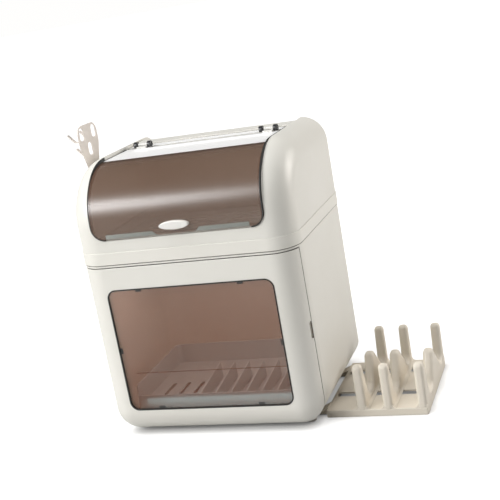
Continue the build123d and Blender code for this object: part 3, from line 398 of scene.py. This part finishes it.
def hingeKnobs(shape):
    step = shape["inner"] + shape["length"] / 2
    places = [turn * shape["hinge"] + way * step for turn in (-1, 1) for way in (-1, 1)]
    knobs = [hingeKnob(shape)]
    while len(knobs) < len(places):
        knob = knobs[0].copy()
        knob.data = knobs[0].data.copy()
        bpy.context.scene.collection.objects.link(knob)
        knobs.append(knob)
    for knob, place in zip(knobs, places):
        knob.location = (place, shape["axisY"], shape["axisZ"])
    whole = joinPieces(knobs)
    finishPiece(whole, "lidPinKnobs", "knobDark", "box")
    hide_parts("lid_pin_caps")


hingeKnobs(knobShape)
print("hinge knobs made")

# the left lip keeps only the front arc and a short run
sealLip = {"inner": 0.1475, "outer": 0.1499, "low": 0.4662, "top": 0.4725, "centreY": -0.068,
           "centreZ": 0.378, "rear": 0.0270, "shortRun": 0.0020, "foot": 0.0030, "edge": 0.0003,
           "edgeSegments": 2, "steps": 28}


def sealLips(shape):
    # a dark lip along each side of the lid, level with the hood's cheek
    height = shape["top"] - shape["low"]
    frontEnd = shape["centreY"] + making["near"]

    def frontFace(face):
        return abs(face.normal.y) > making["facing"] and face.center.y < frontEnd

    lips = []
    for turn in (-1, 1):
        across = turn * (shape["inner"] + shape["outer"]) / 2
        middle = (across, shape["centreY"], shape["low"] + height / 2)
        lip = addPlane(middle, shape["outer"] - shape["inner"], height, (math.radians(90), 0, 0))
        selectFaces()
        extrudeBy(0, shape["rear"] - shape["centreY"] if turn > 0 else shape["shortRun"], 0)
        selectParts(lip, "FACE", frontFace)
        bpy.ops.mesh.spin(steps=shape["steps"], angle=math.radians(-90),
                          center=(0, shape["centreY"], shape["centreZ"]), axis=(1, 0, 0))
        extrudeBy(0, 0, -shape["foot"])
        closeMesh()
        roundEdges(lip, shape["edge"], shape["edgeSegments"])
        lips.append(lip)
    finishPiece(joinPieces(lips), "lidSealLips", "sealDark", "lid")


sealLips(sealLip)
print("seal lips made")

wellLiner = {"floor": 0.4670, "thick": 0.0004, "front": 0.0365, "back": 0.0616, "outer": 0.1470,
             "hinge": 0.1172, "hingeHalf": 0.0115, "hingeBack": 0.0530, "edge": 0.00012}


def hingeWellLiner(shape):
    # a thin white sheet on the floor behind the lid, cut out round the hinge blocks
    near = shape["hinge"] - shape["hingeHalf"]
    far = shape["hinge"] + shape["hingeHalf"]
    fields = [(-near, near, shape["front"])]
    for turn in (-1, 1):
        fields.append((*sorted((turn * far, turn * shape["outer"])), shape["front"]))
        fields.append((*sorted((turn * near, turn * far)), shape["hingeBack"]))
    top = shape["floor"] + shape["thick"]
    sheets = [roundedBlock((low, start, shape["floor"]), (high, shape["back"], top), shape["edge"])
              for low, high, start in fields]
    finishPiece(joinPieces(sheets), "hingeWellLiner", "lidWhite", "box")


hingeWellLiner(wellLiner)
print("hinge well liner made")

edgeBand = {"front": -0.1653, "back": -0.1650, "low": 0.3542, "top": 0.3612, "inner": 0.0330,
            "outer": 0.1240, "slope": 0.0080, "edge": 0.0001}


def lidEdgeBand(shape):
    # the clear lower edge of the lid, slanted where it makes way for the grip
    half = (shape["low"] + shape["top"]) / 2
    nearGrip = shape["inner"] + making["near"]

    def topCorner(corner):
        return corner.co.z > half and abs(corner.co.x) < nearGrip

    bands = []
    for turn in (-1, 1):
        low, high = sorted((turn * shape["inner"], turn * shape["outer"]))
        band = roundedBlock((low, shape["front"], shape["low"]), (high, shape["back"], shape["top"]),
                            shape["edge"])
        selectParts(band, "VERT", topCorner)
        bpy.ops.transform.translate(value=(turn * shape["slope"], 0, 0))
        bpy.ops.object.mode_set(mode="OBJECT")
        bands.append(band)
    finishPiece(joinPieces(bands), "lidEdgeBand", "lidEdgeClear", "lid")


lidEdgeBand(edgeBand)
print("lid edge band made")

# painted shade: a dark sheet set in the door seam where there is only shadow
seamShadeStrip = {"outer": 0.1866, "inner": 0.1856, "front": -0.1344, "back": -0.1332, "top": 0.3030,
             "cornerX": 0.1370, "cornerZ": 0.0580, "steps": 20}


def doorSeamShadeStrip(shape):
    # a dark strip laid in the seam between door and cabinet, down the right and under the floor: painted
    # shade standing in for the dark of the gap
    middle = ((shape["inner"] + shape["outer"]) / 2, (shape["front"] + shape["back"]) / 2, shape["top"])
    strip = addPlane(middle, shape["outer"] - shape["inner"], shape["back"] - shape["front"])
    selectFaces()
    extrudeBy(0, 0, shape["cornerZ"] - shape["top"])
    bpy.ops.mesh.spin(steps=shape["steps"], angle=math.radians(90),
                      center=(shape["cornerX"], 0, shape["cornerZ"]), axis=(0, 1, 0))
    extrudeBy(-2 * shape["cornerX"], 0, 0)
    closeMesh()
    finishPiece(strip, "doorSeamShadeStrip", "seamShadeBrown", "box")


doorSeamShadeStrip(seamShadeStrip)
print("door seam strip made")

floorLook = {"size": 160.0, "tone": (0.58, 0.58, 0.575), "toneTwo": (0.6, 0.6, 0.595), "roughLow": 0.85,
             "roughHigh": 0.95, "grainDepth": 0.0001, "grainScale": 300.0, "mottleScale": 1.5,
             "specular": 0.0, "glowTone": (1, 1, 1), "glow": 0.62, "contactShadowReach": 0.017}


def onlySeen(tree, unseen, seen):
    path = tree.nodes.new("ShaderNodeLightPath")
    strength = tree.nodes.new("ShaderNodeMapRange")
    strength.inputs["To Min"].default_value = unseen
    strength.inputs["To Max"].default_value = seen
    tree.links.new(path.outputs["Is Camera Ray"], strength.inputs["Value"])
    return strength.outputs["Result"]


def softFloor(look):
    bpy.ops.mesh.primitive_plane_add(size=look["size"], location=(0, 0, 0))
    floor = bpy.context.object
    floor.name = "paleFloor"
    finish = mouldedPlastic("paleFloor", look)
    tree = finish.node_tree
    shader = tree.nodes["Principled BSDF"]
    shader.inputs["Specular IOR Level"].default_value = look["specular"]
    shader.inputs["Emission Color"].default_value = (*look["glowTone"], 1)
    # the glow whitens the floor without lighting the box, and fades where something stands close: a painted
    # contact shadow from ambient occlusion
    shadowedGlow = tree.nodes.new("ShaderNodeMath")
    shadowedGlow.operation = "MULTIPLY"
    tree.links.new(onlySeen(tree, 0.0, look["glow"]), shadowedGlow.inputs[0])
    tree.links.new(occlusionShadeOn(tree, look["contactShadowReach"]), shadowedGlow.inputs[1])
    tree.links.new(shadowedGlow.outputs["Value"], shader.inputs["Emission Strength"])
    floor.data.materials.append(finish)


softFloor(floorLook)

boxMiddle = (0, 0, 0.25)
# sizes in metres and power in watts, and a lamp without an aim points at the middle of the box
lamps = {
    "keyLeft": {"place": (-2.0, -2.0, 1.45), "width": 1.2, "height": 1.4, "power": 50,
                "tint": (1.0, 0.995, 0.98)},
    "sideFill": {"place": (2.3, 1.5, 1.1), "width": 1.6, "height": 1.2, "power": 44,
                 "tint": (1.0, 0.96, 0.915)},
    "lidStrip": {"place": (-1.37, -2.1, 1.5), "width": 1.3, "height": 0.75, "power": 46,
                 "tint": (0.97, 0.99, 1.0), "glossOnly": True},
    # small ones behind the panes, for what shows through them
    "cabinetInside": {"place": (0.0, -0.05, 0.295), "aim": (0.0, -0.05, 0.0), "width": 0.28, "height": 0.14,
                      "power": 0.33, "tint": (1.0, 0.73, 0.63)},
    "trayLip": {"place": (0.0, -0.129, 0.05), "aim": (0.0, -0.112, 0.036), "width": 0.27, "height": 0.012,
                "power": 0.010, "tint": (0.72, 1.0, 1.0)},
    "hoodInside": {"place": (0.0, 0.05, 0.455), "aim": (0.0, 0.0, 0.3), "width": 0.25, "height": 0.1,
                   "power": 0.05, "tint": (1.0, 0.98, 0.96)},
}
topSun = {"azimuth": -60, "elevation": 72, "distance": 3, "spread": 60, "strength": 2.6,
          "tint": (1.0, 1.0, 0.995)}


def aimLamp(lamp, place, target):
    aim = Vector(target) - Vector(place)
    lamp.rotation_euler = aim.to_track_quat("-Z", "Y").to_euler()


def softLamp(name, look):
    bpy.ops.object.light_add(type="AREA", location=look["place"])
    lamp = bpy.context.object
    lamp.name = name
    lamp.data.shape = "RECTANGLE"
    lamp.data.size = look["width"]
    lamp.data.size_y = look["height"]
    lamp.data.energy = look["power"]
    lamp.data.color = look["tint"]
    lamp.visible_camera = False
    lamp.visible_diffuse = not look.get("glossOnly", False)
    aimLamp(lamp, look["place"], look.get("aim", boxMiddle))


def softSun(name, look):
    turn = math.radians(look["azimuth"])
    rise = math.radians(look["elevation"])
    across = look["distance"] * math.cos(rise)
    place = (across * math.sin(turn), -across * math.cos(turn), look["distance"] * math.sin(rise))
    bpy.ops.object.light_add(type="SUN", location=place)
    lamp = bpy.context.object
    lamp.name = name
    lamp.data.energy = look["strength"]
    lamp.data.angle = math.radians(look["spread"])
    lamp.data.color = look["tint"]
    lamp.visible_glossy = False
    aimLamp(lamp, place, boxMiddle)


for name, look in lamps.items():
    softLamp(name, look)
softSun("topSun", topSun)

worldLook = {"tone": (1.0, 0.995, 0.985), "fill": 0.10, "seen": 1.0}


def studioWorld(look):
    world = bpy.data.worlds.new("studioWorld")
    bpy.context.scene.world = world
    world.use_nodes = True
    tree = world.node_tree
    fill = tree.nodes["Background"]
    fill.inputs["Color"].default_value = (*look["tone"], 1)
    tree.links.new(onlySeen(tree, look["fill"], look["seen"]), fill.inputs["Strength"])


studioWorld(worldLook)
bpy.context.scene.view_settings.view_transform = "Standard"

# the camera stands and tilts as the one that took the photograph
cameraLook = {"place": (0.6586, -1.6373, 0.7097), "right": (0.93865, 0.29901, -0.17183),
              "up": (0.08356, 0.28622, 0.95452), "lens": 74.87, "sensor": 36.0}


def photoCamera(look):
    bpy.ops.object.camera_add(location=look["place"])
    camera = bpy.context.object
    right = Vector(look["right"]).normalized()
    up = Vector(look["up"])
    up = (up - right * up.dot(right)).normalized()  # square to right
    back = right.cross(up)
    camera.rotation_euler = Matrix((right, up, back)).transposed().to_euler()
    camera.data.lens = look["lens"]
    camera.data.sensor_width = look["sensor"]
    bpy.context.scene.camera = camera


photoCamera(cameraLook)
print("floor, light and camera set")
